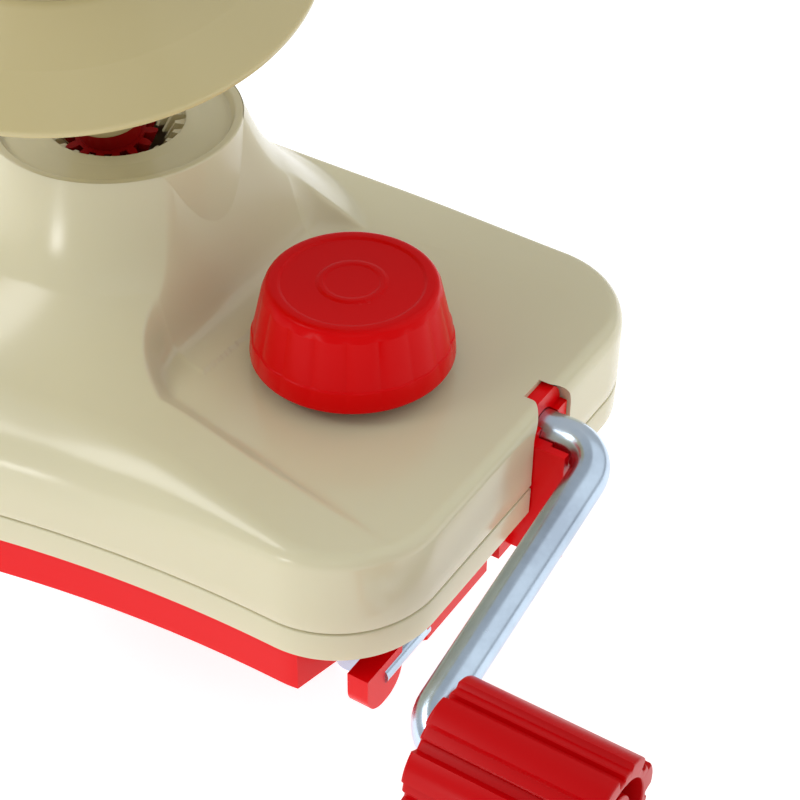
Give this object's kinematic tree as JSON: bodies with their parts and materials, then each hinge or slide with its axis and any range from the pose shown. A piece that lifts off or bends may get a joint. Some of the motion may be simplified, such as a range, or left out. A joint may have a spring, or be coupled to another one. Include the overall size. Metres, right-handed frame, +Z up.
{
  "type": "ball winder",
  "caption": "Hand-cranked ball winder: round-ended housing with a tower, tilted winding spool, bent crank with a grip, and a screw clamp for a table edge.",
  "frame": {"origin": "on the tower axis, on the tray underside that rests on the table", "axes": "+Z up along the tower, +X towards the crank end, -Y the side the crank arm points to at rest"},
  "size_m": [0.2205, 0.1118, 0.2089],
  "materials": {
    "cream_plastic": "glossy moulded cream ABS",
    "red_plastic": "glossy moulded red plastic",
    "grip_red_plastic": "moulded red plastic with raised lobes",
    "dark_red_plastic": "dark red gear moulding",
    "white_acetal": "white acetal",
    "zinc_steel": "bright zinc-plated steel",
    "black_rubber": "ribbed rubber sheet"
  },
  "bodies": {
    "housing": {"upper_housing": "cream_plastic", "lower_rim": "cream_plastic", "bottom_tray": "red_plastic", "table_pad": "black_rubber", "housing_screws": "zinc_steel", "front_bearing": "red_plastic", "rear_bearing": "red_plastic", "front_bush": "white_acetal", "rear_bush": "white_acetal", "shaft_bridge": "red_plastic", "tower_bush": "white_acetal", "lower_bush": "white_acetal", "idler_pin": "zinc_steel", "idler_clip": "zinc_steel", "ring_gear": "cream_plastic", "guide_post": "red_plastic", "guide_pivot": "zinc_steel", "heel_tongue": "red_plastic", "heel_pin": "zinc_steel"},
    "crank": {"crank_rod": "zinc_steel", "crank_wheel": "white_acetal", "crank_collar": "zinc_steel", "grip_retainer": "zinc_steel"},
    "grip": {"crank_grip": "grip_red_plastic"},
    "idler": {"idler_gear": "white_acetal"},
    "rotor": {"main_shaft": "zinc_steel", "main_pinion": "white_acetal", "thrust_washer": "zinc_steel", "spool_collar": "zinc_steel"},
    "spool": {"planet_gear": "dark_red_plastic", "spool_disc": "cream_plastic", "spool_cone": "cream_plastic"},
    "clamp_screw": {"clamp_knob": "red_plastic", "clamp_screw": "zinc_steel", "screw_collar": "zinc_steel"},
    "jaw": {"clamp_jaw": "red_plastic", "jaw_nut": "zinc_steel", "jaw_pad": "black_rubber"},
    "guide": {"guide_arm": "zinc_steel", "guide_hub": "red_plastic"}
  },
  "joints": [
    {"name": "crank_turn", "type": "hinge", "parent": "housing", "child": "crank", "pos_m": [0.0966, 0.0068, 0.0259], "axis": [1, 0, 0], "continuous": true},
    {"name": "grip_spin", "type": "hinge", "parent": "crank", "child": "grip", "pos_m": [0.116, -0.05279, 0.01071], "axis": [1, 0, 0], "continuous": true},
    {"name": "idler_turn", "type": "hinge", "parent": "housing", "child": "idler", "pos_m": [0.01178, 0.0068, 0.0124], "axis": [0, 0, 1], "continuous": true},
    {"name": "rotor_turn", "type": "hinge", "parent": "housing", "child": "rotor", "pos_m": [0, 0, 0.02], "axis": [0, 0, 1], "continuous": true},
    {"name": "spool_spin", "type": "hinge", "parent": "rotor", "child": "spool", "pos_m": [0, 0, 0.0455], "axis": [0.0792, -0.1922, 0.9781], "continuous": true},
    {"name": "knob_turn", "type": "hinge", "parent": "housing", "child": "clamp_screw", "pos_m": [0.05265, -0.0042, 0.045], "axis": [0, 0, 1], "range_deg": [-420, 3000]},
    {"name": "jaw_slide", "type": "slide", "parent": "housing", "child": "jaw", "axis": [0, 0, -1], "range_m": [-0.0036, 0.0251]},
    {"name": "guide_fold", "type": "hinge", "parent": "housing", "child": "guide", "pos_m": [-0.05, 0, 0.044], "axis": [0, -1, 0], "range_deg": [0, 40]}
  ],
  "couplings": [
    {"joint": "idler_turn", "follows": "crank_turn", "ratio": 2.5},
    {"joint": "rotor_turn", "follows": "crank_turn", "ratio": -3.5714},
    {"joint": "spool_spin", "follows": "crank_turn", "ratio": 5.2381},
    {"joint": "jaw_slide", "follows": "knob_turn", "m_per_rad": 0.00047746}
  ]
}
